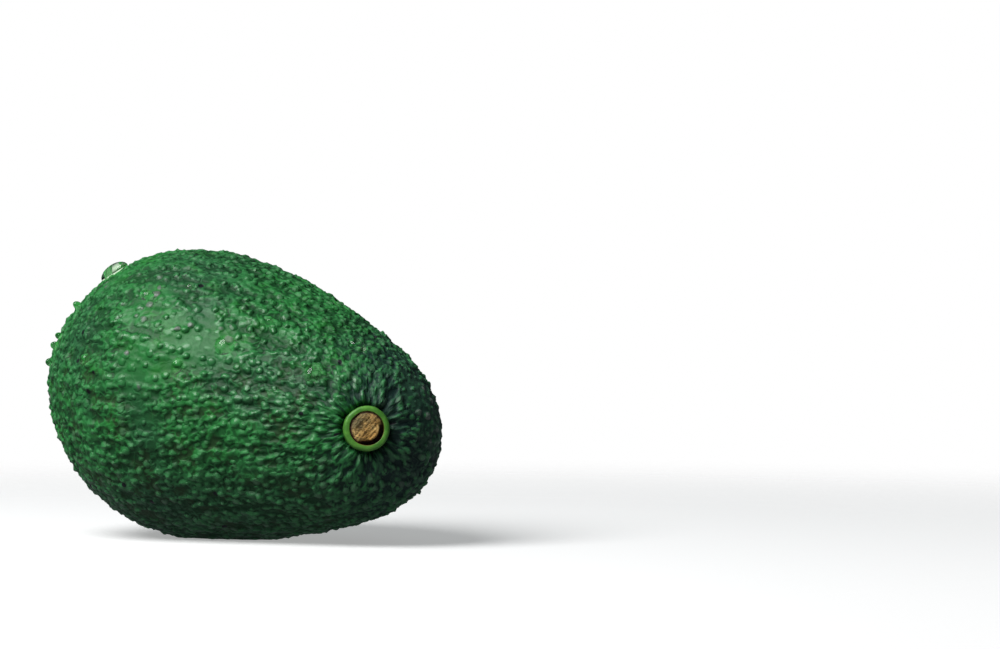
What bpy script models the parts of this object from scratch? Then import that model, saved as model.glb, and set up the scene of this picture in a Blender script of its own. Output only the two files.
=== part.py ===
"""Whole avocado, as picked, lying on its side with the stub of its stalk still on.

The fruit grew as one piece and is one closed solid: a pear-shaped body on a curved middle line, with
a small flat where it rests and a shallow round seat in its neck for the stub. The stub, called the
stem button, is the other solid.

The fruit is first shaped about its middle line, where Z is up and the neck is at +X. An empty then
lays both pieces down: the fruit dips towards its thin neck until it balances, rests on Z = 0, and
has the middle of its box over the origin. Lengths are in metres and angles in radians.
"""
import math

import bmesh
import bpy
from mathutils import Matrix, Vector

# ---------------------------------------------------------------- driving dimensions: the fruit
FRUIT_LENGTH = 0.110                  # along the curved middle line, blossom tip to stalk tip
BELLY_DIAMETER = 0.070
NECK_TAPER = 0.132                    # how much wider the blossom half is than the stalk half
END_FULLNESS = 0.026                  # blunter ends and a leaner middle
SHOULDER_DRAW = 0.065                 # how far the shoulder draws in before the rounded neck end
MIDDLE_BEND = math.radians(45)        # turn of the middle line from one end to the other
RESTING_LEAN = math.radians(-3)       # past the point of balance, neck up, within the flat
FLAT_DEPTH = 0.00075                  # how far the rest spot is pressed in

# ---------------------------------------------------------------- driving dimensions: the stem button
BUTTON_POLAR = math.radians(19)       # place on the skin: angle from the stalk tip ...
BUTTON_AROUND = math.radians(157.5)   # ... and round the middle line, from the outside of the bend
BUTTON_DIAMETER = 0.0104
BUTTON_HEIGHT = 0.0024                # top of the green rim over the skin in the dimple
RIM_WIDTH = 0.0014
RIM_ROUNDING = 0.0005
CORE_DIAMETER = 0.0072
CORE_STANDING = 0.0005                # woody core over the rim
GROOVE_DEPTH = 0.0008                 # below the rim, between rim and core
BUTTON_TAPER = 0.0004                 # how much the rim draws in over its height
SEAT_DEPTH = 0.0014                   # below the skin in the dimple
DIMPLE_DEPTH = 0.0012
DIMPLE_REACH = 0.009
FIT_GAP = 0.0003                      # clear space between the button and its seat

# ---------------------------------------------------------------- fineness of the surfaces
SEGMENTS_AROUND = 72
RINGS_ALONG = 44
BUTTON_STEPS = 40
ROUNDING_STEPS = 4
PROFILE_SAMPLES = 720
MERGE_DISTANCE = 0.00001
SLOPE_STEP = 0.0001                   # angle over which a slope on the skin is measured
SMALLEST_TURN = 0.000001              # below this a curve counts as straight
HALVINGS = 50                         # of the search for the balance point


# ---------------------------------------------------------------- shape of the fruit
def width_share(polar):
    """Half width at a polar angle, 0 at the stalk tip and pi at the blossom tip, before scaling."""
    fullness = (
        1
        - NECK_TAPER * math.cos(polar)
        + END_FULLNESS * math.cos(2 * polar)
        + SHOULDER_DRAW * math.cos(3 * polar)
    )
    return math.sin(polar) * fullness


WIDEST_SHARE = max(width_share(math.pi * i / PROFILE_SAMPLES) for i in range(PROFILE_SAMPLES))


def sinc(angle):
    """sin(angle) / angle, also at zero."""
    return 1.0 if abs(angle) < SMALLEST_TURN else math.sin(angle) / angle


def middle_line(polar):
    """Point on the curved middle line, and the direction across it in the plane of the bend."""
    along = math.cos(polar) / 2
    turn = -MIDDLE_BEND * along
    point = FRUIT_LENGTH * along * Vector((sinc(turn), math.sin(turn / 2) * sinc(turn / 2), 0))
    across = Vector((-math.sin(turn), math.cos(turn), 0))
    return point, across


def body_point(polar, around):
    """Point on the pear-shaped body before the dimple is pressed in."""
    centre, across = middle_line(polar)
    half_width = BELLY_DIAMETER / 2 * width_share(polar) / WIDEST_SHARE
    return centre + half_width * (math.cos(around) * across + math.sin(around) * Vector((0, 0, 1)))


def slope_along(polar, around):
    """Direction on the body from the stalk tip towards the blossom tip, not of unit length."""
    return body_point(polar + SLOPE_STEP, around) - body_point(polar - SLOPE_STEP, around)


def body_normal(polar, around):
    """Outward normal of the body at a point that is not a tip."""
    sideways = body_point(polar, around + SLOPE_STEP) - body_point(polar, around - SLOPE_STEP)
    return slope_along(polar, around).cross(sideways).normalized()


BUTTON_PLACE = body_point(BUTTON_POLAR, BUTTON_AROUND)
BUTTON_AXIS = body_normal(BUTTON_POLAR, BUTTON_AROUND)


def skin_point(polar, around):
    """Point on the skin, with the dimple round the stem button."""
    point = body_point(polar, around)
    nearness = math.exp(-((point - BUTTON_PLACE).length / DIMPLE_REACH) ** 2)
    return point - DIMPLE_DEPTH * nearness * BUTTON_AXIS


def button_frame():
    """Matrix with its origin on the skin in the dimple and its Z along the button's axis."""
    turn = Vector((0, 0, 1)).rotation_difference(BUTTON_AXIS).to_matrix().to_4x4()
    return Matrix.Translation(BUTTON_PLACE - DIMPLE_DEPTH * BUTTON_AXIS) @ turn


# ---------------------------------------------------------------- how the fruit lies
UNDERSIDE = -math.pi / 2              # angle round the middle line of the fruit's lowest line
BELLY_FROM = math.radians(60)         # polar angles between which the fruit can balance
BELLY_TO = math.radians(135)


def centre_of_mass(mesh):
    """Centre of a closed mesh filled evenly, by summing its cones from the origin."""
    volume = 0.0
    moment = Vector((0, 0, 0))
    mesh.calc_loop_triangles()
    for triangle in mesh.loop_triangles:
        a, b, c = (mesh.vertices[i].co for i in triangle.vertices)
        share = a.dot(b.cross(c)) / 6
        volume += share
        moment += share * (a + b + c) / 4
    return moment / volume


def balance_point(mass_centre):
    """Polar angle at which the fruit's lowest line is square to the way from the centre of mass."""
    def pull(polar):
        return (body_point(polar, UNDERSIDE) - mass_centre).dot(slope_along(polar, UNDERSIDE))

    low, high = BELLY_FROM, BELLY_TO
    for _ in range(HALVINGS):
        middle = (low + high) / 2
        if pull(low) * pull(middle) <= 0:
            high = middle
        else:
            low = middle
    return (low + high) / 2


def lying_turn(mass_centre):
    """Rotation that lays the fruit on its belly."""
    contact = balance_point(mass_centre)
    down = body_normal(contact, UNDERSIDE)
    balance = down.rotation_difference(Vector((0, 0, -1))).to_matrix().to_4x4()
    return Matrix.Rotation(RESTING_LEAN, 4, "Y") @ balance


def lying_place(mesh, turn):
    """Matrix that lays the mesh down, with its flat on Z = 0 and its box centred over the origin."""
    corners = [turn @ vertex.co for vertex in mesh.vertices]
    lowest = Vector(min(corner[axis] for corner in corners) for axis in range(3))
    highest = Vector(max(corner[axis] for corner in corners) for axis in range(3))
    middle = (lowest + highest) / 2
    return Matrix.Translation((-middle.x, -middle.y, -lowest.z - FLAT_DEPTH)) @ turn


# ---------------------------------------------------------------- Blender helpers
def clear_scene():
    for item in list(bpy.data.objects):
        bpy.data.objects.remove(item, do_unlink=True)


def new_collection(name):
    collection = bpy.data.collections.new(name)
    bpy.context.scene.collection.children.link(collection)
    return collection


def new_object(name, mesh, collection):
    item = bpy.data.objects.new(name, mesh)
    collection.objects.link(item)
    return item


def new_material(name, colour, roughness):
    material = bpy.data.materials.new(name)
    material.use_nodes = True
    shader = material.node_tree.nodes["Principled BSDF"]
    shader.inputs["Base Color"].default_value = (*colour, 1)
    shader.inputs["Roughness"].default_value = roughness
    shader.inputs["Metallic"].default_value = 0
    return material


def turned_object(name, profile, collection):
    """Solid turned from an (r, z) profile that runs from the top of the axis, down its outer side."""
    mesh = bpy.data.meshes.new(name)
    mesh.from_pydata([(r, 0, z) for r, z in profile], [(i, i + 1) for i in range(len(profile) - 1)], [])
    item = new_object(name, mesh, collection)
    screw = item.modifiers.new("turn", "SCREW")
    screw.axis = "Z"
    screw.angle = math.tau
    screw.steps = BUTTON_STEPS
    screw.render_steps = BUTTON_STEPS
    screw.use_merge_vertices = True
    screw.merge_threshold = MERGE_DISTANCE
    screw.use_smooth_shade = True
    return item


def cut(item, cutter):
    """Takes the cutter's shape out of the item."""
    boolean = item.modifiers.new(cutter.name, "BOOLEAN")
    boolean.operation = "DIFFERENCE"
    boolean.solver = "EXACT"
    boolean.object = cutter


def mark_as_cutter(item):
    item.hide_render = True
    item.display_type = "WIRE"


# ---------------------------------------------------------------- the pieces
def fruit_mesh():
    """A sphere whose every point is carried to its place on the skin."""
    sheet = bmesh.new()
    bmesh.ops.create_uvsphere(sheet, u_segments=SEGMENTS_AROUND, v_segments=RINGS_ALONG, radius=1)
    for vertex in sheet.verts:
        polar = math.acos(max(-1.0, min(1.0, vertex.co.z)))
        around = math.atan2(vertex.co.y, vertex.co.x)
        vertex.co = skin_point(polar, around)
    bmesh.ops.recalc_face_normals(sheet, faces=sheet.faces)
    mesh = bpy.data.meshes.new("fruit")
    sheet.to_mesh(mesh)
    sheet.free()
    mesh.shade_smooth()
    return mesh


def button_profile():
    """Outline of the stem button: woody core, groove, rounded green rim, side and foot."""
    outer = BUTTON_DIAMETER / 2
    rim_outer = outer - BUTTON_TAPER
    rim_inner = outer - RIM_WIDTH
    core = CORE_DIAMETER / 2
    core_top = BUTTON_HEIGHT + CORE_STANDING
    groove = BUTTON_HEIGHT - GROOVE_DEPTH
    profile = [(0, core_top), (core - RIM_ROUNDING, core_top), (core, core_top - RIM_ROUNDING)]
    profile += [(core, groove), (rim_inner, groove), (rim_inner, BUTTON_HEIGHT)]
    for step in range(ROUNDING_STEPS + 1):
        angle = math.pi / 2 * step / ROUNDING_STEPS
        profile.append((
            rim_outer - RIM_ROUNDING + RIM_ROUNDING * math.sin(angle),
            BUTTON_HEIGHT - RIM_ROUNDING + RIM_ROUNDING * math.cos(angle),
        ))
    foot = FIT_GAP - SEAT_DEPTH
    return profile + [(outer, 0), (outer, foot), (0, foot)]


def seat_profile():
    """Outline of the cutter for the seat, open above the skin."""
    radius = BUTTON_DIAMETER / 2 + FIT_GAP
    top = DIMPLE_DEPTH + DIMPLE_REACH
    return [(0, top), (radius, top), (radius, -SEAT_DEPTH), (0, -SEAT_DEPTH)]


def floor_cutter(collection):
    """A block whose top is the floor."""
    size = 2 * FRUIT_LENGTH
    sheet = bmesh.new()
    bmesh.ops.create_cube(sheet, size=size)
    mesh = bpy.data.meshes.new("floor_cutter")
    sheet.to_mesh(mesh)
    sheet.free()
    cutter = new_object("floor_cutter", mesh, collection)
    cutter.location = (0, 0, -size / 2)
    mark_as_cutter(cutter)
    return cutter


def main():
    clear_scene()
    parts = new_collection("avocado")
    cutters = new_collection("cutters")

    body = fruit_mesh()
    pose = bpy.data.objects.new("lying_pose", None)
    parts.objects.link(pose)
    pose.matrix_world = lying_place(body, lying_turn(centre_of_mass(body)))

    fruit = new_object("fruit", body, parts)
    fruit.parent = pose
    fruit.data.materials.append(new_material("skin_green", (0.02, 0.085, 0.03), 0.42))

    seat_cutter = turned_object("seat_cutter", seat_profile(), cutters)
    seat_cutter.parent = pose
    seat_cutter.matrix_local = button_frame()
    mark_as_cutter(seat_cutter)
    cut(fruit, seat_cutter)
    cut(fruit, floor_cutter(cutters))

    button = turned_object("stem_button", button_profile(), parts)
    button.parent = pose
    button.matrix_local = button_frame()
    button.data.materials.append(new_material("stem_rind", (0.1, 0.3, 0.05), 0.5))


main()
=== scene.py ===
"""Looks of the whole avocado: pebbled skin, stem button, drops of water, and a plain studio.

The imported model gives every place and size. The skin is cast onto the fruit's solid from inside, and
one recipe of nodes, the wart pattern, both raises its warts as geometry and colours them.
"""
from __future__ import annotations

import logging
import math
from dataclasses import dataclass, field
from enum import Enum

import bmesh
import bpy
import numpy as np
from mathutils import Matrix, Vector
from mathutils.bvhtree import BVHTree


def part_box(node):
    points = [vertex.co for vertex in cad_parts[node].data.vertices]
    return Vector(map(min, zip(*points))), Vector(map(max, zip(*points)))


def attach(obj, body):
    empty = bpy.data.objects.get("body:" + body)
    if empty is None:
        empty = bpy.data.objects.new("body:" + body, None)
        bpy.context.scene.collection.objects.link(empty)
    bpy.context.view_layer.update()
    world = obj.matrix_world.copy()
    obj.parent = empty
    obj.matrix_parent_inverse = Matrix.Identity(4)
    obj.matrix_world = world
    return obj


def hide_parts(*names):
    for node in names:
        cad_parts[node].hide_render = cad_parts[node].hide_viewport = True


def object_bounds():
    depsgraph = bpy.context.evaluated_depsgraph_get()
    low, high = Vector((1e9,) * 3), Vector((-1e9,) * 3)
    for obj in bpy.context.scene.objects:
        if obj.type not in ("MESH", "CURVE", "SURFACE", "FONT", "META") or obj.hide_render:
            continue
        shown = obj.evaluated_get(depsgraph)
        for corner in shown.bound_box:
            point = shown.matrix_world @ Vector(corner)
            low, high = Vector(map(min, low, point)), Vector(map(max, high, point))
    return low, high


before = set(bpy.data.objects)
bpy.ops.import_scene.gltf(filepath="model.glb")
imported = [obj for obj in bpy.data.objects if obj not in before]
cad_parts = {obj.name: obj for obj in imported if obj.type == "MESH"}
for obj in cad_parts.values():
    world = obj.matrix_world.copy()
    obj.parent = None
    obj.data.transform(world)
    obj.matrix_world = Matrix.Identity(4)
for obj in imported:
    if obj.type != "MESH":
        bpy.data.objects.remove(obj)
CAD_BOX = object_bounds()

LOG = logging.getLogger("avocado")
MM = 0.001
BODY = "root"
WART_SPACE = "wart_space"
CALM = "calm"
RELIEF = "relief"

Colour = tuple[float, float, float]
Place = tuple[float, float, float]


# ---- node writing
class Blend(Enum):
    """How two colours are mixed."""

    MIX = "MIX"
    MULTIPLY = "MULTIPLY"


class Value:
    """A node's output socket, on which arithmetic adds Math nodes to the same tree."""

    def __init__(self, recipe: Recipe, socket: bpy.types.NodeSocket) -> None:
        """Keeps the socket and the recipe that it belongs to."""
        self.recipe = recipe
        self.socket = socket

    def also(self, output: str) -> Value:
        """Another output of the same node."""
        return Value(self.recipe, self.socket.node.outputs[output])

    def __add__(self, other: Number) -> Value:
        """Sum."""
        return self.recipe.maths("ADD", self, other)

    def __radd__(self, other: Number) -> Value:
        """Sum, from the right."""
        return self.recipe.maths("ADD", other, self)

    def __sub__(self, other: Number) -> Value:
        """Difference."""
        return self.recipe.maths("SUBTRACT", self, other)

    def __rsub__(self, other: Number) -> Value:
        """Difference, from the right."""
        return self.recipe.maths("SUBTRACT", other, self)

    def __mul__(self, other: Number) -> Value:
        """Product."""
        return self.recipe.maths("MULTIPLY", self, other)

    def __rmul__(self, other: Number) -> Value:
        """Product, from the right."""
        return self.recipe.maths("MULTIPLY", other, self)

    def __truediv__(self, other: Number) -> Value:
        """Quotient."""
        return self.recipe.maths("DIVIDE", self, other)

    def __rtruediv__(self, other: Number) -> Value:
        """Quotient, from the right."""
        return self.recipe.maths("DIVIDE", other, self)

    def __pow__(self, other: Number) -> Value:
        """Power."""
        return self.recipe.maths("POWER", self, other)

    def __rpow__(self, other: Number) -> Value:
        """Power, from the right."""
        return self.recipe.maths("POWER", other, self)

    def clamped(self) -> Value:
        """The value held between 0 and 1."""
        return self.recipe.maths("ADD", self, 0.0, clamp=True)

    def at_least(self, other: Number) -> Value:
        """The larger of two values."""
        return self.recipe.maths("MAXIMUM", self, other)

    def magnitude(self) -> Value:
        """The value without its sign."""
        return self.recipe.maths("ABSOLUTE", self)

    def ramp(self, start: Number, end: Number) -> Value:
        """Smooth step.

        Args:
            start: Value at which the step is 0.
            end: Value at which the step is 1, which may be below start.

        Returns:
            A value from 0 to 1.
        """
        return self.recipe.node(
            "ShaderNodeMapRange",
            {"interpolation_type": "SMOOTHSTEP"},
            {"Value": self, "From Min": start, "From Max": end},
        )


Number = float | Value


class Recipe:
    """Writes nodes into one shader or geometry tree."""

    def __init__(self, tree: bpy.types.NodeTree) -> None:
        """Keeps the tree that the nodes go into."""
        self.tree = tree

    def node(
        self,
        kind: str,
        settings: dict[str, object] | None = None,
        sockets: dict[str | int, object] | None = None,
        output: str | int = 0,
    ) -> Value:
        """Adds one node.

        Args:
            kind: The node's type name.
            settings: Its properties, set before its sockets.
            sockets: Values, or outputs to link from, by socket name or number.
            output: The output to return.

        Returns:
            The chosen output.
        """
        node = self.tree.nodes.new(kind)
        for name, setting in (settings or {}).items():
            setattr(node, name, setting)
        for name, given in (sockets or {}).items():
            if isinstance(given, Value):
                self.tree.links.new(given.socket, node.inputs[name])
            else:
                node.inputs[name].default_value = given
        return Value(self, node.outputs[output])

    def maths(self, operation: str, first: Number, second: Number = 0.0, clamp: bool = False) -> Value:
        """Adds a Math node on one or two numbers; clamp holds its result between 0 and 1."""
        settings = {"operation": operation, "use_clamp": clamp}
        return self.node("ShaderNodeMath", settings, {0: first, 1: second})

    def vector(self, operation: str, *inputs: object, output: str | int = 0) -> Value:
        """Adds a Vector Math node on vectors in their order, and returns one of its outputs."""
        sockets = dict(enumerate(inputs))
        return self.node("ShaderNodeVectorMath", {"operation": operation}, sockets, output)

    def mix(self, share: Number, first: object, second: object, blend: Blend = Blend.MIX) -> Value:
        """Mixes two colours.

        Args:
            share: How much of the second shows, from 0 to 1.
            first: Colour or output.
            second: Colour or output.
            blend: How they are mixed.

        Returns:
            The mixed colour.
        """
        first, second = (c if isinstance(c, Value) else (*c, 1.0) for c in (first, second))
        settings = {"data_type": "RGBA", "blend_type": blend.value}
        return self.node("ShaderNodeMix", settings, {0: share, 6: first, 7: second}, 2)

    def noise(self, place: Value, size: float, detail: float = 2.0, roughness: float = 0.5) -> Value:
        """Cloudy noise from 0 to 1, its largest clouds of a size in the units of place."""
        sockets = {"Vector": place, "Scale": 1 / size, "Detail": detail, "Roughness": roughness}
        return self.node("ShaderNodeTexNoise", {}, sockets)

    def cells(self, place: Value, size: float, randomness: float = 1.0) -> Value:
        """Distance to the nearest scattered centre, in cells; Color holds three random numbers a cell."""
        sockets = {"Vector": place, "Scale": 1 / size, "Randomness": randomness}
        return self.node("ShaderNodeTexVoronoi", {}, sockets)

    def parts_of(self, vector: Value) -> tuple[Value, Value, Value]:
        """The three numbers of a vector or colour."""
        first = self.node("ShaderNodeSeparateXYZ", {}, {0: vector})
        return first, first.also("Y"), first.also("Z")


class Painter(Recipe):
    """Writes the shader of one new material."""

    def __init__(self, name: str) -> None:
        """Starts a material that holds one Principled shader.

        Args:
            name: The material's name.
        """
        self.material = bpy.data.materials.new(name)
        self.material.use_nodes = True
        super().__init__(self.material.node_tree)
        self.shader = self.tree.nodes["Principled BSDF"]

    def own_place(self) -> Value:
        """Place on the piece, in its own axes, in millimetres."""
        place = self.node("ShaderNodeTexCoord", output="Object")
        return self.vector("MULTIPLY", place, (1 / MM,) * 3)

    def from_axis(self, place: Value) -> Value:
        """Distance of a place from the piece's own Z axis."""
        return self.vector("LENGTH", self.vector("MULTIPLY", place, (1, 1, 0)), output="Value")

    def stored(self, name: str, output: str = "Vector") -> Value:
        """A vector or, from the output Fac, a number stored on the mesh's points."""
        return self.node("ShaderNodeAttribute", {"attribute_name": name}, output=output)

    def set(self, **sockets: object) -> None:
        """Sets or links sockets of the shader.

        Args:
            sockets: Values or outputs to link from, by socket name with _ for a space.
        """
        for name, given in sockets.items():
            socket = self.shader.inputs[name.replace("_", " ")]
            if isinstance(given, Value):
                self.tree.links.new(given.socket, socket)
            else:
                socket.default_value = given

    def bump(self, height: Value) -> None:
        """Lets a height in millimetres tilt the surface."""
        sockets = {"Strength": 1.0, "Distance": MM, "Height": height}
        self.set(Normal=self.node("ShaderNodeBump", {}, sockets))


# ---- the wart pattern
@dataclass(frozen=True)
class Relief:
    """What the wart pattern says of a place: a height in millimetres, and masks from 0 to 1."""

    height: Value
    crest: Value
    bud: Value
    rough: Value
    trough: Value
    chance: Value


@dataclass(frozen=True)
class WartPattern:
    """Long warts, wavy bands and small round buds of the skin, all in millimetres."""

    pod_lengthening: float = 1.35
    band_lengthening: float = 3.0
    belly_starts: float = -32.0
    neck_starts: float = 26.0
    pod_spacing: float = 1.9
    pod_height: float = 0.50
    band_size: float = 3.6
    band_height: float = 0.42
    net_size: float = 2.2
    net_height: float = 0.14
    bud_spacing: float = 2.35
    bud_height: float = 0.52
    bud_shift: Place = (37.0, 11.0, 53.0)
    lump_size: float = 12.0
    lump_height: float = 0.6
    zone_size: float = 13.0
    pod_wobble: float = 0.55
    band_wobble: float = 1.0
    wobble_size: float = 1.6

    def domes(
        self, recipe: Recipe, place: Value, spacing: float, bare: Number, roundness: float
    ) -> tuple[Value, Value]:
        """Rounded warts, one in most cells.

        Args:
            recipe: Where the nodes go.
            place: Where the pattern is read.
            spacing: Distance between warts.
            bare: Share of the cells that hold no wart.
            roundness: 1 for a dome, and less for a flatter top with steeper sides.

        Returns:
            Height of the warts from 0 to 1, and a random number for each wart.
        """
        distance = recipe.cells(place, spacing, 0.9)
        girth, rise, chance = recipe.parts_of(distance.also("Color"))
        rounded = (1 - (distance / (0.30 + 0.26 * girth)) ** 2).clamped() ** roundness
        present = chance.ramp(bare - 0.04, bare + 0.08)
        return rounded * present * (0.5 + 0.5 * rise), girth

    def lengthwise(self, recipe: Recipe, place: Value, lengthening: float) -> Value:
        """Draws the space together along the fruit, so that what is even in it lies longer on the skin.

        Args:
            recipe: Where the nodes go.
            place: A place in wart space.
            lengthening: How much longer than wide the features lie.

        Returns:
            The place in the shorter space, which is as it was from the neck on.
        """
        along, _, _ = recipe.parts_of(place)
        belly = recipe.maths("MINIMUM", along.at_least(self.belly_starts), self.neck_starts)
        shift = (belly - self.neck_starts) * (1 / lengthening - 1)
        return recipe.vector("ADD", place, recipe.node("ShaderNodeCombineXYZ", {}, {0: shift}))

    def relief(self, recipe: Recipe, place: Value, calm: Value) -> Relief:
        """The whole pattern.

        Args:
            recipe: Where the nodes go, for a shader or for geometry.
            place: Place in wart space, in millimetres.
            calm: 1 where the skin is smooth with a few round buds, and below 0 round the button.

        Returns:
            Heights and masks.
        """
        shaken = recipe.noise(place, self.wobble_size, 1.0).also("Color")
        shaken = recipe.vector("SUBTRACT", shaken, (0.5,) * 3)
        bent = recipe.vector("MULTIPLY_ADD", shaken, (self.pod_wobble,) * 3, place)
        wavy = recipe.vector("MULTIPLY_ADD", shaken, (self.band_wobble,) * 3, place)
        stretched = self.lengthwise(recipe, bent, self.pod_lengthening)
        drawn_out = self.lengthwise(recipe, wavy, self.band_lengthening)
        zone = recipe.noise(place, self.zone_size, 1.0)
        rough = (zone * 1.6 - 0.06 - calm * 0.6).ramp(0.15, 0.6)
        pods, _ = self.domes(recipe, stretched, self.pod_spacing, 0.5 - 0.45 * rough, 0.85)
        bands = recipe.noise(drawn_out, self.band_size, 2.0, 0.55).ramp(0.38, 0.60)
        net = (1 - (recipe.noise(wavy, self.net_size, 1.0) - 0.5).magnitude() * 9).clamped()
        apart = recipe.vector("ADD", bent, self.bud_shift)
        buds, chance = self.domes(recipe, apart, self.bud_spacing, 0.14 - 0.06 * rough, 0.7)
        lumps = recipe.noise(place, self.lump_size, 1.0) - 0.5
        crest = (pods * 1.1 + bands * 0.3 + net * 0.35 - 0.1).at_least(0.0)
        height = (
            (bands * self.band_height + pods * self.pod_height) * (0.28 + 0.66 * rough)
            + net * self.net_height * (0.35 + 0.65 * rough)
            + buds * self.bud_height
            + lumps * self.lump_height
        )
        return Relief(height, crest, buds, rough, bands.ramp(0.5, 0.0) * rough, chance)


# ---- finishes
@dataclass(frozen=True)
class SkinFinish:
    """Waxy green skin: crests paler, partly painted light; painted shade in the brown-green gullies,
    under the fruit and on the neck; a few dull purple tips.
    """

    ground: Colour = (0.027, 0.240, 0.050)
    crest: Colour = (0.060, 0.330, 0.096)
    gully_shade: Colour = (0.024, 0.052, 0.018)
    shade: Colour = (0.004, 0.052, 0.013)
    fresh: Colour = (0.024, 0.275, 0.024)
    dark_tone_and_shade: Colour = (0.034, 0.108, 0.062)
    neck_hollow_shade: Colour = (0.004, 0.020, 0.022)
    scar: Colour = (0.110, 0.070, 0.030)
    purple: Colour = (0.165, 0.170, 0.165)
    pit: Colour = (0.010, 0.012, 0.016)
    dark_tint: Colour = (0.6, 0.6, 0.6)
    broad_size: float = 24.0
    blotch_size: float = 6.0
    grain_size: float = 0.5
    pit_spacing: float = 9.0
    scar_radius: float = 3.2
    roughness: float = 0.48
    specular: float = 0.26
    wax_in_gullies: float = 0.06
    wax_on_buds: float = 0.55
    wax_roughness: float = 0.2
    fine_bump: float = 0.62

    def material(self, pattern: WartPattern, tip: Place) -> bpy.types.Material:
        """Paints the skin.

        Args:
            pattern: The pattern that shaped the warts.
            tip: Place of the blossom scar, in wart space.

        Returns:
            The material.
        """
        paint = Painter("avocado_skin")
        place = paint.stored(WART_SPACE)
        relief = pattern.relief(paint, place, paint.stored(CALM, "Fac"))
        broad = paint.noise(place, self.broad_size, 2.0)
        blotch = paint.noise(place, self.blotch_size, 3.0, 0.6)
        grain = paint.noise(place, self.grain_size, 2.0, 0.6)
        colour = paint.mix(0.4 + 0.6 * broad.ramp(0.35, 0.6), self.dark_tone_and_shade, self.ground)
        colour = paint.mix(blotch.ramp(0.5, 0.7) * 0.45, colour, self.fresh)
        neck, _, level = paint.parts_of(place)
        # Painted shade: the underside and the neck are darkened towards the darker tone.
        colour = paint.mix(neck.ramp(32.0, 54.0).at_least(level.ramp(26.0, 6.0) * 0.7), colour, self.dark_tone_and_shade)
        risen = relief.crest.at_least(relief.bud)
        # Painted shade: the hollows between raised warts and the troughs between bands are darkened,
        # brownish low on the fruit and darkest on the neck.
        gully_shade = risen.ramp(0.42, 0.06) * (0.25 + 0.75 * relief.rough)
        gully_shade = gully_shade.at_least(relief.trough * 0.6)
        hollow_shade = paint.mix(blotch.ramp(0.46, 0.60) * level.ramp(54.0, 36.0), self.shade, self.gully_shade)
        hollow_shade = paint.mix(neck.ramp(28.0, 44.0), hollow_shade, self.neck_hollow_shade)
        colour = paint.mix(gully_shade * 0.85, colour, hollow_shade)
        # Raised tops are paler: partly the skin's own paler warts, partly painted light.
        colour = paint.mix(risen.ramp(0.3, 0.9) * 0.6, colour, self.crest)
        dull = relief.chance.ramp(0.70, 0.76) * relief.bud.ramp(0.2, 0.45) * blotch.ramp(0.46, 0.54)
        colour = paint.mix(dull * (0.8 - 0.6 * relief.rough), colour, self.purple)
        pit = paint.cells(place, self.pit_spacing).ramp(0.085, 0.06)
        colour = paint.mix(pit, colour, self.pit)
        from_tip = paint.vector("DISTANCE", place, tip, output="Value") + blotch * 1.5
        colour = paint.mix(from_tip.ramp(self.scar_radius, self.scar_radius - 1.3), colour, self.scar)
        colour = paint.mix(grain.ramp(0.3, 0.7) * 0.22, colour, self.dark_tint, Blend.MULTIPLY)
        rough = self.roughness + 0.1 * (blotch - 0.5) + 0.1 * (grain - 0.5) + 0.12 * gully_shade
        waxy = relief.bud.at_least(relief.crest * 0.6).ramp(0.2, 0.8)
        wax = self.wax_in_gullies + self.wax_on_buds * waxy
        paint.set(Base_Color=colour, Roughness=rough, Specular_IOR_Level=self.specular)
        paint.set(Coat_Weight=wax, Coat_Roughness=self.wax_roughness)
        paint.bump(relief.height * self.fine_bump + relief.bud * 0.2 + grain * 0.03)
        return paint.material


@dataclass(frozen=True)
class RindFinish:
    """Smooth green rind of the stem button."""

    green: Colour = (0.085, 0.30, 0.035)
    pale: Colour = (0.16, 0.48, 0.060)
    rust: Colour = (0.16, 0.07, 0.02)
    dark_tint: Colour = (0.4, 0.5, 0.4)
    roughness: float = 0.42

    def material(self, inner: float, outer: float) -> bpy.types.Material:
        """Paints the rind.

        Args:
            inner: Radius of its inner edge, in millimetres.
            outer: Radius of its outer edge, in millimetres.

        Returns:
            The material.
        """
        paint = Painter("stem_rind_green")
        place = paint.own_place()
        across = paint.from_axis(place)
        cloud = paint.noise(place, 2.2, 3.0)
        grain = paint.noise(place, 0.35, 2.0)
        colour = paint.mix(cloud.ramp(0.35, 0.7), self.green, self.pale)
        band = 0.22 + 0.3 * (cloud - 0.5)
        edge = (across - inner).ramp(band, 0.0) * 0.85
        colour = paint.mix(edge.clamped(), colour, self.rust)
        # Darker towards the outer edge, where the rind meets the skin.
        colour = paint.mix(across.ramp(outer - 0.5, outer) * 0.35, colour, self.dark_tint, Blend.MULTIPLY)
        paint.set(Base_Color=colour, Roughness=self.roughness + 0.2 * (grain - 0.5))
        paint.bump(grain * 0.05 + cloud * 0.12)
        return paint.material


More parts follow.
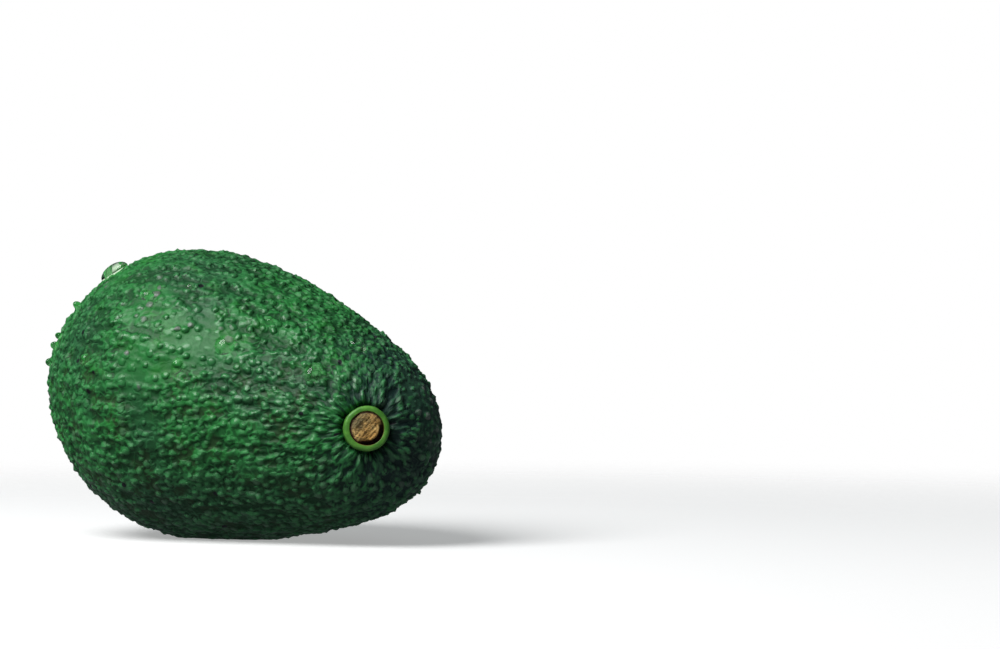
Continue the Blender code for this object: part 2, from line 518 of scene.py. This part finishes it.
@dataclass(frozen=True)
class WoodFinish:
    """Broken, fibrous end of the stalk: tan and orange, with dark pores, and painted shade along its edge
    and on its sunken chip.
    """

    tan: Colour = (0.64, 0.36, 0.09)
    straw: Colour = (0.95, 0.66, 0.25)
    olive: Colour = (0.24, 0.20, 0.085)
    pore_and_gap_shade: Colour = (0.075, 0.026, 0.012)
    roughness: float = 0.8

    def material(self, radius: float, top: float) -> bpy.types.Material:
        """Paints the woody core.

        Args:
            radius: Its radius, in millimetres.
            top: Height of its top, in millimetres.

        Returns:
            The material.
        """
        paint = Painter("stem_core_wood")
        place = paint.own_place()
        across = paint.from_axis(place)
        x, y, level = paint.parts_of(place)
        fibres = paint.noise(paint.vector("MULTIPLY", place, (1.0, 2.3, 0.6)), 0.75, 4.0, 0.65)
        clumps = paint.noise(place, 1.5, 3.0, 0.6)
        lean = ((x * 0.6 - y * 0.5) / radius + (clumps - 0.5) * 1.6).ramp(-0.75, 0.25)
        colour = paint.mix(lean, self.olive, self.tan)
        colour = paint.mix(clumps.ramp(0.48, 0.68) * lean, colour, self.straw)
        colour = paint.mix(fibres.ramp(0.50, 0.36) * 0.75, colour, self.pore_and_gap_shade)
        # Painted shade: the pore colour along the core's edge, in the gap inside the rind, and on its low
        # chipped part.
        colour = paint.mix(across.ramp(radius - 0.45, radius - 0.05), colour, self.pore_and_gap_shade)
        colour = paint.mix(level.ramp(top - 0.7, top - 1.3), colour, self.pore_and_gap_shade)
        paint.set(Base_Color=colour, Roughness=self.roughness)
        paint.bump(fibres * 0.35 + clumps * 0.2)
        return paint.material


@dataclass(frozen=True)
class WaterFinish:
    """Clear water."""

    tint: Colour = (0.74, 1.0, 0.70)
    refraction: float = 1.33
    roughness: float = 0.02

    def material(self) -> bpy.types.Material:
        """Makes the clear material.

        Returns:
            The material.
        """
        paint = Painter("clear_water")
        paint.set(Base_Color=(*self.tint, 1.0), Roughness=self.roughness, IOR=self.refraction)
        paint.set(Transmission_Weight=1.0)
        return paint.material


@dataclass(frozen=True)
class FloorFinish:
    """Plain pale floor that fades out away from the fruit, and throws little light back up at it."""

    shade: Colour = (0.86, 0.86, 0.86)
    bounce: Colour = (0.12, 0.12, 0.12)
    seen_glow: Colour = (0.36, 0.36, 0.36)
    cast_glow: Colour = (0.085, 0.092, 0.10)
    fade_from: float = 0.10
    fade_to: float = 0.45
    roughness: float = 0.9

    def material(self) -> bpy.types.Material:
        """Makes the floor's material.

        Returns:
            The material.
        """
        paint = Painter("pale_floor")
        place = paint.node("ShaderNodeTexCoord", output="Object")
        away = paint.vector("LENGTH", place, output="Value")
        seen = paint.node("ShaderNodeLightPath", output="Is Camera Ray")
        paint.set(Base_Color=paint.mix(seen, self.bounce, self.shade), Roughness=self.roughness)
        paint.set(Emission_Color=paint.mix(seen, self.cast_glow, self.seen_glow), Emission_Strength=1.0)
        clear = paint.node("ShaderNodeBsdfTransparent")
        shader = Value(paint, paint.shader.outputs[0])
        fade = away.ramp(self.fade_from, self.fade_to)
        mixed = paint.node("ShaderNodeMixShader", {}, {0: fade, 1: shader, 2: clear})
        paint.tree.links.new(mixed.socket, paint.tree.nodes["Material Output"].inputs["Surface"])
        return paint.material


# ---- helpers
def unit(vectors: np.ndarray) -> np.ndarray:
    """Vectors of length 1, along the last axis."""
    return vectors / np.maximum(np.linalg.norm(vectors, axis=-1, keepdims=True), 1e-12)


def smooth_step(values: np.ndarray, start: float, end: float) -> np.ndarray:
    """Smooth step from 0 at start to 1 at end."""
    share = np.clip((values - start) / (end - start), 0, 1)
    return share * share * (3 - 2 * share)


def new_piece(name: str, mesh: bpy.types.Mesh) -> bpy.types.Object:
    """Adds an object to the scene.

    Args:
        name: The piece's name.
        mesh: Its mesh.

    Returns:
        The object.
    """
    piece = bpy.data.objects.new(name, mesh)
    bpy.context.scene.collection.objects.link(piece)
    return piece


def grid_mesh(name: str, points: np.ndarray, quads: np.ndarray) -> bpy.types.Mesh:
    """A smooth mesh of four-sided faces.

    Args:
        name: The mesh's name.
        points: Places of its points.
        quads: Four point numbers for each face.

    Returns:
        The mesh.
    """
    mesh = bpy.data.meshes.new(name)
    mesh.from_pydata(points.tolist(), [], quads.tolist())
    mesh.shade_smooth()
    mesh.update()
    return mesh


def lathe_quads(steps: int, row: int, ring: bool) -> np.ndarray:
    """Faces between rows of points that go once round an axis.

    Args:
        steps: How many rows there are.
        row: Points in each row.
        ring: Whether each row closes on itself too.

    Returns:
        Four point numbers for each face.
    """
    number = np.arange(steps * row).reshape(steps, row)
    after = np.roll(number, -1, axis=0)
    near = np.arange(row if ring else row - 1)
    far = (near + 1) % row
    corners = (number[:, near], after[:, near], after[:, far], number[:, far])
    return np.stack(corners, axis=-1).reshape(-1, 4)


def close_ends(mesh: bpy.types.Mesh) -> None:
    """Caps the open ends of a mesh, and turns all its faces outwards.

    Args:
        mesh: The mesh, changed in place.
    """
    sheet = bmesh.new()
    sheet.from_mesh(mesh)
    bmesh.ops.holes_fill(sheet, edges=[e for e in sheet.edges if e.is_boundary], sides=0)
    bmesh.ops.recalc_face_normals(sheet, faces=sheet.faces)
    sheet.to_mesh(mesh)
    sheet.free()
    mesh.shade_smooth()


@dataclass(frozen=True)
class ButtonPlace:
    """Where the stem button stands on the fruit, read from its solid."""

    foot: np.ndarray
    axis: np.ndarray
    height: float
    radius: float

    @classmethod
    def read(cls) -> ButtonPlace:
        """Reads the place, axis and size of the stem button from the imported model.

        Returns:
            The button's place.
        """
        points = points_of(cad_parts["stem_button"])
        middle = points.mean(axis=0)
        axis = np.linalg.svd(points - middle, full_matrices=False)[2][2]
        axis = axis * np.sign(axis @ (middle - points_of(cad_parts["fruit"]).mean(axis=0)))
        along = (points - middle) @ axis
        radius = np.linalg.norm(points - middle - along[:, None] * axis, axis=1).max()
        foot = middle + axis * along.min()
        return cls(foot, axis, float(np.ptp(along)), float(radius))

    def matrix(self) -> Matrix:
        """Placement with Z along the button's axis and X level.

        Returns:
            The matrix that carries the button's own axes to the fruit's.
        """
        right = unit(np.cross((0.0, 0.0, 1.0), self.axis))
        up = np.cross(self.axis, right)
        turn = Matrix(np.column_stack((right, up, self.axis)).tolist()).to_4x4()
        return Matrix.Translation(self.foot.tolist()) @ turn


def points_of(item: bpy.types.Object) -> np.ndarray:
    """The points of an object's mesh, in metres."""
    return np.array([tuple(vertex.co) for vertex in item.data.vertices])


def fruit_tree() -> BVHTree:
    """The fruit's solid, ready to be struck by rays."""
    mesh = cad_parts["fruit"].data
    return BVHTree.FromPolygons([v.co for v in mesh.vertices], [tuple(f.vertices) for f in mesh.polygons])


# ---- the skin
@dataclass(frozen=True)
class CalmSpot:
    """A stretch of smoother skin: its middle and reach, in millimetres."""

    place: Place
    reach: float


@dataclass
class Skin:
    """The fruit's skin: a fine mesh cast onto the solid, with its warts raised."""

    button: ButtonPlace
    pattern: WartPattern = field(default_factory=WartPattern)
    finish: SkinFinish = field(default_factory=SkinFinish)
    rows: int = 128
    stretch: float = 1.5
    facet_rounds: int = 30
    seat_rounds: int = 260
    seat_reach: float = 2 * MM
    sink: float = 0.55 * MM
    rest_reach: float = 1.5 * MM
    pucker: float = 0.8
    crease_depth: float = 1.2 * MM
    crease_width: float = 1.3 * MM
    pull: float = 11.5 * MM
    pull_depth: float = 26.0 * MM
    least_reach: float = 0.1 * MM
    scar_radius: float = 1.6 * MM
    scar_depth: float = 0.8 * MM
    calm_spots: tuple[CalmSpot, ...] = (
        CalmSpot((-2.0, -29.0, 49.0), 19.0),
        CalmSpot((52.0, 0.0, 33.0), 17.0),
        CalmSpot((-12.0, 27.0, 20.0), 12.0),
    )
    points: np.ndarray = field(init=False)
    quads: np.ndarray = field(init=False)
    chart: np.ndarray = field(init=False)
    space: np.ndarray = field(init=False)
    calm: np.ndarray = field(init=False)
    tip: np.ndarray = field(init=False)

    def spread_directions(self) -> None:
        """Covers a sphere evenly with four-sided faces, and lays them flat as six square charts."""
        steps = np.tan(np.linspace(-1, 1, self.rows + 1) * math.pi / 4)
        a, b = np.meshgrid(steps, steps, indexing="ij")
        one = np.ones_like(a)
        sides = [(one, a, b), (-one, b, a), (b, one, a), (a, -one, b), (a, b, one), (b, a, -one)]
        grids = np.array([np.stack(side, axis=-1) for side in sides]).reshape(-1, 3)
        keys = np.round(unit(grids), 6)
        _, first, place = np.unique(keys, axis=0, return_index=True, return_inverse=True)
        self.points = unit(grids[first])
        size = self.rows + 1
        number = np.arange(len(sides) * size * size).reshape(len(sides), size, size)
        corners = (number[:, :-1, :-1], number[:, 1:, :-1], number[:, 1:, 1:], number[:, :-1, 1:])
        loops = np.stack([c.ravel() for c in corners], axis=-1)
        self.quads = place.ravel()[loops]
        spot = np.linspace(0.01, 0.99, size)
        u, v = np.meshgrid(spot, spot, indexing="ij")
        charts = [((u + i % 3) / 3, (v + i // 3) / 2) for i in range(len(sides))]
        flat = np.array([np.stack(pair, axis=-1) for pair in charts]).reshape(-1, 2)
        self.chart = flat[loops].reshape(-1, 2)

    def cast(self) -> None:
        """Carries every point out from the middle of the fruit to its solid."""
        tree = fruit_tree()
        low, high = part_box("fruit")
        middle = (low + high) / 2
        ways = unit(self.points * (self.stretch, 1, 1))
        hits = [tree.ray_cast(middle, Vector(way))[0] for way in ways]
        self.points = np.array([tuple(hit) for hit in hits])

    def relax(self, rounds: int, moving: np.ndarray) -> None:
        """Evens out the moving points towards the middle of their neighbours.

        Args:
            rounds: How many times.
            moving: True for each point that may move.
        """
        sides = np.concatenate([self.quads[:, [i, (i + 1) % 4]] for i in range(4)])
        pairs = np.unique(np.sort(sides, axis=1), axis=0)
        pairs = pairs[moving[pairs].any(axis=1)]
        ends = np.concatenate([pairs[:, 0], pairs[:, 1]])
        others = np.concatenate([pairs[:, 1], pairs[:, 0]])
        count = np.maximum(np.bincount(ends, minlength=len(self.points)), 1)
        for _ in range(rounds):
            near = self.points[others]
            sums = [np.bincount(ends, near[:, i], len(self.points)) for i in range(3)]
            middle = np.stack(sums, axis=-1) / count[:, None]
            self.points[moving] += 0.5 * (middle[moving] - self.points[moving])

    def from_foot(self) -> np.ndarray:
        """Each point's distance from the button's foot."""
        return np.linalg.norm(self.points - self.button.foot, axis=1)

    def from_button(self) -> tuple[np.ndarray, np.ndarray]:
        """Where the points lie, seen from the button's foot.

        Returns:
            Each point's offset across the button's axis, and its depth below the foot.
        """
        offset = self.points - self.button.foot
        depth = -(offset @ self.button.axis)
        return offset + depth[:, None] * self.button.axis, depth

    def wart_space(self) -> np.ndarray:
        """Places in which the warts are even, in millimetres.

        Near the button the space is drawn outwards, so that warts evenly spread in it lie on the fruit
        as narrow wrinkles that run towards the button.

        Returns:
            One place for each point.
        """
        across, depth = self.from_button()
        reach = np.linalg.norm(across, axis=1)
        pull = self.pull * np.exp(-((depth / self.pull_depth) ** 2))
        longer = np.sqrt(reach**2 + pull**2) / np.maximum(reach, self.least_reach)
        return (self.points + across * (longer - 1)[:, None]) / MM

    def normals(self) -> np.ndarray:
        """Works out the outward direction at each point.

        Returns:
            Vectors of length 1.
        """
        corner = self.points[self.quads]
        faces = np.cross(corner[:, 2] - corner[:, 0], corner[:, 3] - corner[:, 1])
        total = np.zeros_like(self.points)
        for i in range(3):
            for k in range(4):
                total[:, i] += np.bincount(self.quads[:, k], faces[:, i], len(self.points))
        return unit(total)

    def calmness(self) -> np.ndarray:
        """Works out how calm the skin is at each point.

        Returns:
            Values up to 1, and below 0 round the button, where the wrinkles are strongest.
        """
        shares = [
            smooth_step(np.linalg.norm(self.points / MM - spot.place, axis=1) / spot.reach, 1.15, 0.3)
            for spot in self.calm_spots
        ]
        puckered = smooth_step(self.from_foot(), self.pull * 1.3, self.pull * 0.6)
        return np.max(shares, axis=0) * (1 - puckered) - 0.7 * puckered

    def store(self, mesh: bpy.types.Mesh) -> None:
        """Stores what the wart pattern reads.

        Args:
            mesh: The mesh that it is stored on, point by point.
        """
        places = mesh.attributes.new(WART_SPACE, "FLOAT_VECTOR", "POINT")
        places.data.foreach_set("vector", self.space.ravel())
        mesh.attributes.new(CALM, "FLOAT", "POINT").data.foreach_set("value", self.calm)

    def raised(self) -> np.ndarray:
        """Works out the wart pattern at every point.

        Returns:
            Heights in metres, from the same nodes as the skin's shader.
        """
        mesh = grid_mesh("relief_probe", self.points, self.quads)
        self.store(mesh)
        probe = new_piece("relief_probe", mesh)
        modifier = probe.modifiers.new("relief", "NODES")
        modifier.node_group = self.relief_group()
        shaped = probe.evaluated_get(bpy.context.evaluated_depsgraph_get()).data
        heights = np.empty(len(self.points), np.float32)
        shaped.attributes[RELIEF].data.foreach_get("value", heights)
        bpy.data.objects.remove(probe)
        bpy.data.meshes.remove(mesh)
        bpy.data.node_groups.remove(bpy.data.node_groups["wart_relief"])
        return heights.astype(float) * MM

    def relief_group(self) -> bpy.types.NodeTree:
        """Writes geometry nodes that store the wart pattern's height on each point.

        Returns:
            The node group.
        """
        group = bpy.data.node_groups.new("wart_relief", "GeometryNodeTree")
        for way in ("INPUT", "OUTPUT"):
            group.interface.new_socket("Geometry", in_out=way, socket_type="NodeSocketGeometry")
        recipe = Recipe(group)
        came_in = recipe.node("NodeGroupInput")
        named = {"data_type": "FLOAT_VECTOR"}
        place = recipe.node("GeometryNodeInputNamedAttribute", named, {"Name": WART_SPACE})
        calm = recipe.node("GeometryNodeInputNamedAttribute", {"data_type": "FLOAT"}, {"Name": CALM})
        height = self.pattern.relief(recipe, place, calm).height
        stored = {"Geometry": came_in, "Name": RELIEF, "Value": height}
        kept = recipe.node("GeometryNodeStoreNamedAttribute", {"data_type": "FLOAT"}, stored)
        group.links.new(kept.socket, group.nodes.new("NodeGroupOutput").inputs[0])
        return group

    def shape(self) -> None:
        """Raises the warts, and presses in the crease, the blossom scar and the rest spot."""
        self.cast()
        self.relax(self.facet_rounds, np.ones(len(self.points), bool))
        self.relax(self.seat_rounds, self.from_foot() < self.button.radius + self.seat_reach)
        self.space = self.wart_space()
        self.calm = self.calmness()
        outward = self.normals()
        lift = self.raised()
        from_foot = self.from_foot()
        lift *= 1 + self.pucker * smooth_step(from_foot, self.pull, self.button.radius)
        lift -= self.sink * smooth_step(self.points[:, 2], 0, self.rest_reach)
        reach = np.linalg.norm(self.from_button()[0], axis=1)
        close = from_foot < 3 * self.button.radius
        crease = smooth_step(reach, self.button.radius + self.crease_width, self.button.radius - 0.3 * MM)
        lift -= np.where(close, crease * self.crease_depth, 0)
        tip = self.points[np.argmax(from_foot)]
        self.tip = tip / MM
        from_tip = np.linalg.norm(self.points - tip, axis=1)
        lift -= self.scar_depth * np.exp(-((from_tip / self.scar_radius) ** 2))
        self.points = self.points + outward * lift[:, None]
        self.points[:, 2] = np.maximum(self.points[:, 2], 0)

    def build(self) -> bpy.types.Object:
        """Makes the skin.

        Returns:
            The finished piece.
        """
        self.spread_directions()
        self.shape()
        mesh = grid_mesh("skin", self.points, self.quads)
        self.store(mesh)
        mesh.uv_layers.new(name="OFBake").data.foreach_set("uv", self.chart.ravel())
        mesh.materials.append(self.finish.material(self.pattern, tuple(self.tip)))
        piece = new_piece("skin", mesh)
        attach(piece, BODY)
        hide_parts("fruit")
        return piece


# ---- the stem button
@dataclass
class StemButton:
    """The stub of the stalk: a green rind with a broken woody core inside it."""

    place: ButtonPlace
    rim_width: float = 1.35 * MM
    rim_drop: float = 0.5 * MM
    shoulder_width: float = 0.86 * MM
    shoulder_height: float = 0.576 * MM
    lip_width: float = 0.252 * MM
    lip_height: float = 0.324 * MM
    swell: float = 0.018
    rise: float = 0.12 * MM
    core_gap: float = 0.12 * MM
    core_drop: float = 0.25 * MM
    core_sag: float = 0.5 * MM
    steps: int = 120
    rings: int = 34
    chip_angle: float = math.radians(-50)
    chip_spread: float = math.radians(82)
    chip_depth: float = 1.9 * MM
    rind_finish: RindFinish = field(default_factory=RindFinish)
    wood_finish: WoodFinish = field(default_factory=WoodFinish)

    @property
    def inner(self) -> float:
        """Radius of the rind's inner edge."""
        return self.place.radius - self.rim_width

    @property
    def rim_top(self) -> float:
        """Height of the rind's rim over the button's foot."""
        return self.place.height - self.rim_drop

    @property
    def angles(self) -> np.ndarray:
        """Angles of the steps round the axis, as a column."""
        return np.linspace(0, math.tau, self.steps, endpoint=False)[:, None]

    def wobble(self, seed: float) -> np.ndarray:
        """Slow unevenness round the button, from about -1 to 1."""
        waves = ((2, 0.5, 1.3), (3, 0.35, 4.1), (5, 0.25, 0.7), (9, 0.12, 2.9))
        return sum(size * np.sin(count * self.angles + shift + seed) for count, size, shift in waves)

    def rind_outline(self) -> np.ndarray:
        """Draws the rind's outline, from the foot's outer corner round over the rim.

        Returns:
            Distances from the axis and heights of a closed line.
        """
        bend = np.linspace(0, math.pi / 2, 7)
        rising = 1 - np.sin(bend)
        falling = 1 - np.cos(bend)
        outer = self.place.radius
        side = np.array([(outer, 0.0), (outer, 1.1 * MM), (outer - 0.06 * MM, 1.7 * MM)])
        shoulder = (outer - self.shoulder_width * falling, self.rim_top - self.shoulder_height * rising)
        lip = (self.inner + self.lip_width * rising, self.rim_top - self.lip_height * falling)
        well = np.array([(self.inner, 1.6 * MM), (self.inner, 0.9 * MM), (self.inner, 0.0)])
        return np.concatenate([side, np.column_stack(shoulder), np.column_stack(lip), well])

    def build_rind(self) -> bpy.types.Object:
        """Turns the rind's outline round the axis, a little unevenly.

        Returns:
            The rind.
        """
        radius, level = self.rind_outline().T
        radius = radius * (1 + self.swell * self.wobble(0.0))
        high = smooth_step(level, 1.2 * MM, self.rim_top)
        level = level + self.rise * self.wobble(2.0) * high
        points = np.stack((radius * np.cos(self.angles), radius * np.sin(self.angles), level), axis=-1)
        green = self.rind_finish.material(self.inner / MM, self.place.radius / MM)
        return self.finish_piece("stem_rind", points, True, green)

    def core_height(self, x: np.ndarray, y: np.ndarray, share: np.ndarray) -> np.ndarray:
        """Height of the broken wood.

        Args:
            x: Place across the core.
            y: Place up the core.
            share: Distance from the axis as a share of the radius.

        Returns:
            Heights over the button's foot.
        """
        angle = np.arctan2(y, x)
        away = np.abs((angle - self.chip_angle + math.pi) % math.tau - math.pi)
        chip = smooth_step(away, self.chip_spread, self.chip_spread * 0.45)
        chip = chip * smooth_step(share, 0.70, 0.84)
        waves = ((0.16, 1.9, 1.4, 0.4), (0.1, 3.1, 4.3, 2.2), (0.07, 6.7, 5.1, 0.9), (0.05, 9, 11, 3.1))
        crumbs = sum(
            size * np.sin(x / MM * fx + shift) * np.sin(y / MM * fy + 1.7 * shift)
            for size, fx, fy, shift in waves
        )
        sag = self.core_sag * smooth_step(share, 0.72, 1.0)
        return self.place.height - self.core_drop + crumbs * MM - sag - chip * self.chip_depth

    def build_core(self) -> bpy.types.Object:
        """Makes the woody core: a rough broken top over a plain plug.

        Returns:
            The core.
        """
        radius = self.inner - self.core_gap
        share = np.linspace(1, 0, self.rings + 1)[:-1] ** 0.85
        x = radius * share * np.cos(self.angles)
        y = radius * share * np.sin(self.angles)
        height = self.core_height(x, y, np.broadcast_to(share, x.shape))
        top = np.stack((x, y, height), axis=-1)
        wall = [top[:, :1] * (1, 1, level) for level in (0.1, 0.4, 0.7)]
        wood = self.wood_finish.material(radius / MM, self.place.height / MM)
        return self.finish_piece("stem_core", np.concatenate([*wall, top], axis=1), False, wood)

    def finish_piece(
        self, name: str, points: np.ndarray, ring: bool, material: bpy.types.Material
    ) -> bpy.types.Object:
        """Makes a turned piece from rows of points.

        Args:
            name: The piece's name.
            points: One row of points for each step round the axis.
            ring: Whether each row closes on itself; if not, both its ends are capped.
            material: What it is dressed in.

        Returns:
            The piece, in place.
        """
        steps, row = points.shape[:2]
        mesh = grid_mesh(name, points.reshape(-1, 3), lathe_quads(steps, row, ring))
        if not ring:
            close_ends(mesh)
        mesh.materials.append(material)
        piece = new_piece(name, mesh)
        piece.matrix_world = self.place.matrix()
        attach(piece, BODY)
        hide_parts("stem_button")
        return piece


# ---- the water
@dataclass(frozen=True)
class Drop:
    """One drop of water: its place on the fruit and its size, in millimetres.

    Its place is a distance along the fruit from the middle, and an angle in degrees up from level, on
    the side that the neck bends to.
    """

    along: float
    around: float
    length: float
    width: float
    height: float


@dataclass
class Water:
    """Drops that cling to the skin."""

    drops: tuple[Drop, ...] = (
        Drop(-31.5, 67.5, 9.4, 6.0, 2.1),
        Drop(-11.0, 43.0, 3.6, 3.2, 1.2),
        Drop(-24.0, 14.5, 2.8, 3.1, 1.2),
        Drop(2.5, 13.0, 2.8, 4.2, 1.2),
        Drop(12.3, 25.5, 5.4, 4.8, 1.6),
        Drop(34.0, 15.5, 4.2, 5.2, 1.6),
        Drop(38.5, 53.0, 5.4, 3.4, 1.3),
        Drop(-38.5, 50.0, 2.2, 2.0, 1.5),
        Drop(-42.0, 34.0, 1.9, 1.8, 1.3),
        Drop(-43.0, 29.0, 2.3, 2.0, 1.5),
        Drop(-45.0, 20.0, 2.1, 2.0, 1.4),
        Drop(-2.0, 52.0, 2.6, 2.0, 0.6),
        Drop(19.0, 47.0, 2.2, 1.8, 0.5),
        Drop(-14.0, 122.0, 3.6, 2.8, 1.0),
        Drop(8.0, 128.0, 2.6, 2.4, 0.8),
        Drop(-28.0, 131.0, 4.2, 3.4, 1.2),
        Drop(24.0, 142.0, 3.0, 2.6, 0.9),
        Drop(-6.0, 158.0, 2.2, 2.6, 0.8),
    )
    sink: float = 0.55 * MM
    steps: int = 40
    rings: int = 14
    unevenness: float = 0.06
    finish: WaterFinish = field(default_factory=WaterFinish)

    def dome(self, drop: Drop, seed: int, solid: BVHTree) -> np.ndarray:
        """Rows of points of one drop, from its top to its end under the skin.

        Args:
            drop: The drop.
            seed: Its number, which makes its outline its own.
            solid: The fruit's solid, which it sits on.

        Returns:
            Points in the fruit's axes.
        """
        low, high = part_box("fruit")
        around = math.radians(drop.around)
        way = Vector((0, -math.cos(around), math.sin(around)))
        start = Vector((drop.along * MM, 0, (low.z + high.z) / 2)) + way * high.x
        foot, outward, _, _ = solid.ray_cast(start, -way)
        turn = np.linspace(0, math.tau, self.steps, endpoint=False)
        tilt = np.linspace(0.02, math.pi * 0.97, self.rings)
        uneven = 1 + self.unevenness * (np.sin(2 * turn + seed) + 0.6 * np.sin(3 * turn + 2.3 * seed))
        across = np.sin(tilt)[None, :] * uneven[:, None]
        x = across * np.cos(turn)[:, None] * drop.length / 2 * MM
        y = across * np.sin(turn)[:, None] * drop.width / 2 * MM
        rise = np.where(tilt < math.pi / 2, drop.height * MM, self.sink)
        z = np.broadcast_to(np.cos(tilt) * rise, x.shape)
        side = Vector((1, 0, 0)).cross(outward).normalized()
        axes = np.array([side.cross(outward).normalized() * -1, side, outward])
        return np.stack((x, y, z), axis=-1).reshape(-1, 3) @ axes + np.array(foot)

    def build(self) -> bpy.types.Object:
        """Makes all the drops as one piece.

        Returns:
            The finished piece.
        """
        solid = fruit_tree()
        domes = [self.dome(drop, seed, solid) for seed, drop in enumerate(self.drops)]
        starts = self.steps * self.rings * np.arange(len(domes))
        quads = lathe_quads(self.steps, self.rings, False) + starts[:, None, None]
        mesh = grid_mesh("water_drops", np.concatenate(domes), quads.reshape(-1, 4))
        close_ends(mesh)
        mesh.materials.append(self.finish.material())
        piece = new_piece("water_drops", mesh)
        piece.visible_shadow = False
        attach(piece, BODY)
        return piece


# ---- the studio
@dataclass
class Studio:
    """Plain pale floor, soft light and the camera."""

    azimuth: float = math.radians(37.4)
    elevation: float = math.radians(1.5)
    distance: float = 0.906
    focal_mm: float = 135.0
    sensor_mm: float = 36.0
    look_right: float = math.radians(3.83)
    look_up: float = math.radians(1.05)
    floor_radius: float = 1.25
    lamp_right: float = -0.54
    lamp_up: float = 0.75
    lamp_near: float = 0.42
    lamp_distance: float = 0.8
    lamp_size: float = 0.6
    lamp_watts: float = 7.2
    light_below: Colour = (0.05, 0.055, 0.07)
    light_above: Colour = (0.09, 0.105, 0.105)
    floor_finish: FloorFinish = field(default_factory=FloorFinish)

    def axes(self) -> tuple[Vector, Vector, Vector]:
        """Directions for a camera that looks at the middle of the fruit.

        Returns:
            Right, up and towards the camera.
        """
        right = Vector((math.cos(self.azimuth), math.sin(self.azimuth), 0))
        level = Vector((math.sin(self.azimuth), -math.cos(self.azimuth), 0))
        back = level * math.cos(self.elevation) + Vector((0, 0, math.sin(self.elevation)))
        return right, back.cross(right), back

    def middle(self) -> Vector:
        """The middle of the whole object."""
        low, high = CAD_BOX
        return (low + high) / 2

    def build_camera(self) -> None:
        """Stands the camera off and turns it so that the fruit is left of and below the middle."""
        right, up, back = self.axes()
        data = bpy.data.cameras.new("camera")
        data.lens = self.focal_mm
        data.sensor_width = self.sensor_mm
        camera = bpy.data.objects.new("camera", data)
        bpy.context.scene.collection.objects.link(camera)
        ahead = -back + right * math.tan(self.look_right) + up * math.tan(self.look_up)
        camera.location = self.middle() + back * self.distance
        camera.rotation_euler = ahead.to_track_quat("-Z", "Y").to_euler()
        bpy.context.scene.camera = camera

    def build_lamp(self) -> None:
        """Sets up one large soft lamp, up on the left of the camera."""
        right, up, back = self.axes()
        data = bpy.data.lights.new("key", "AREA")
        data.shape = "DISK"
        data.size = self.lamp_size
        data.energy = self.lamp_watts
        lamp = bpy.data.objects.new("key", data)
        lamp.visible_transmission = False
        bpy.context.scene.collection.objects.link(lamp)
        way = (right * self.lamp_right + up * self.lamp_up + back * self.lamp_near).normalized()
        lamp.location = self.middle() + way * self.lamp_distance
        lamp.rotation_euler = way.to_track_quat("Z", "Y").to_euler()

    def build_world(self) -> None:
        """Makes the world white to the eye, and to water far behind the fruit, and a soft light else."""
        world = bpy.data.worlds.new("studio")
        world.use_nodes = True
        bpy.context.scene.world = world
        recipe = Recipe(world.node_tree)
        room = world.node_tree.nodes["Background"]
        place = recipe.node("ShaderNodeTexCoord", output="Generated")
        _, _, high = recipe.parts_of(place)
        light = recipe.mix(high.ramp(-0.1, 0.9), self.light_below, self.light_above)
        world.node_tree.links.new(light.socket, room.inputs["Color"])
        white = recipe.node("ShaderNodeBackground", {}, {"Color": (1.0,) * 4})
        seen = recipe.node("ShaderNodeLightPath", output="Is Camera Ray")
        ahead = recipe.vector("DOT_PRODUCT", place, tuple(-self.axes()[2]), output="Value")
        seen = seen.at_least(seen.also("Is Transmission Ray") * ahead.ramp(0.5, 0.8))
        both = {0: seen, 1: Value(recipe, room.outputs[0]), 2: white}
        mixed = recipe.node("ShaderNodeMixShader", {}, both)
        world.node_tree.links.new(mixed.socket, world.node_tree.nodes["World Output"].inputs["Surface"])

    def build_floor(self) -> None:
        """Lays the floor under the fruit."""
        sheet = bmesh.new()
        bmesh.ops.create_circle(sheet, cap_ends=True, segments=96, radius=self.floor_radius)
        mesh = bpy.data.meshes.new("floor")
        sheet.to_mesh(mesh)
        sheet.free()
        mesh.materials.append(self.floor_finish.material())
        new_piece("floor", mesh)

    def build(self) -> None:
        """Sets up the whole studio, with colours shown as they are."""
        self.build_floor()
        self.build_lamp()
        self.build_world()
        self.build_camera()
        bpy.context.scene.view_settings.view_transform = "Standard"
        bpy.context.scene.view_settings.look = "None"


def main() -> None:
    """Builds the avocado and its studio, and reports each piece."""
    logging.basicConfig(level=logging.INFO, format="%(name)s: %(message)s")
    Studio().build()
    LOG.info("studio is set up")
    place = ButtonPlace.read()
    button = StemButton(place)
    for piece in (Skin(place).build(), button.build_rind(), button.build_core(), Water().build()):
        LOG.info("%s has %d points", piece.name, len(piece.data.vertices))


if __name__ == "__main__":
    main()
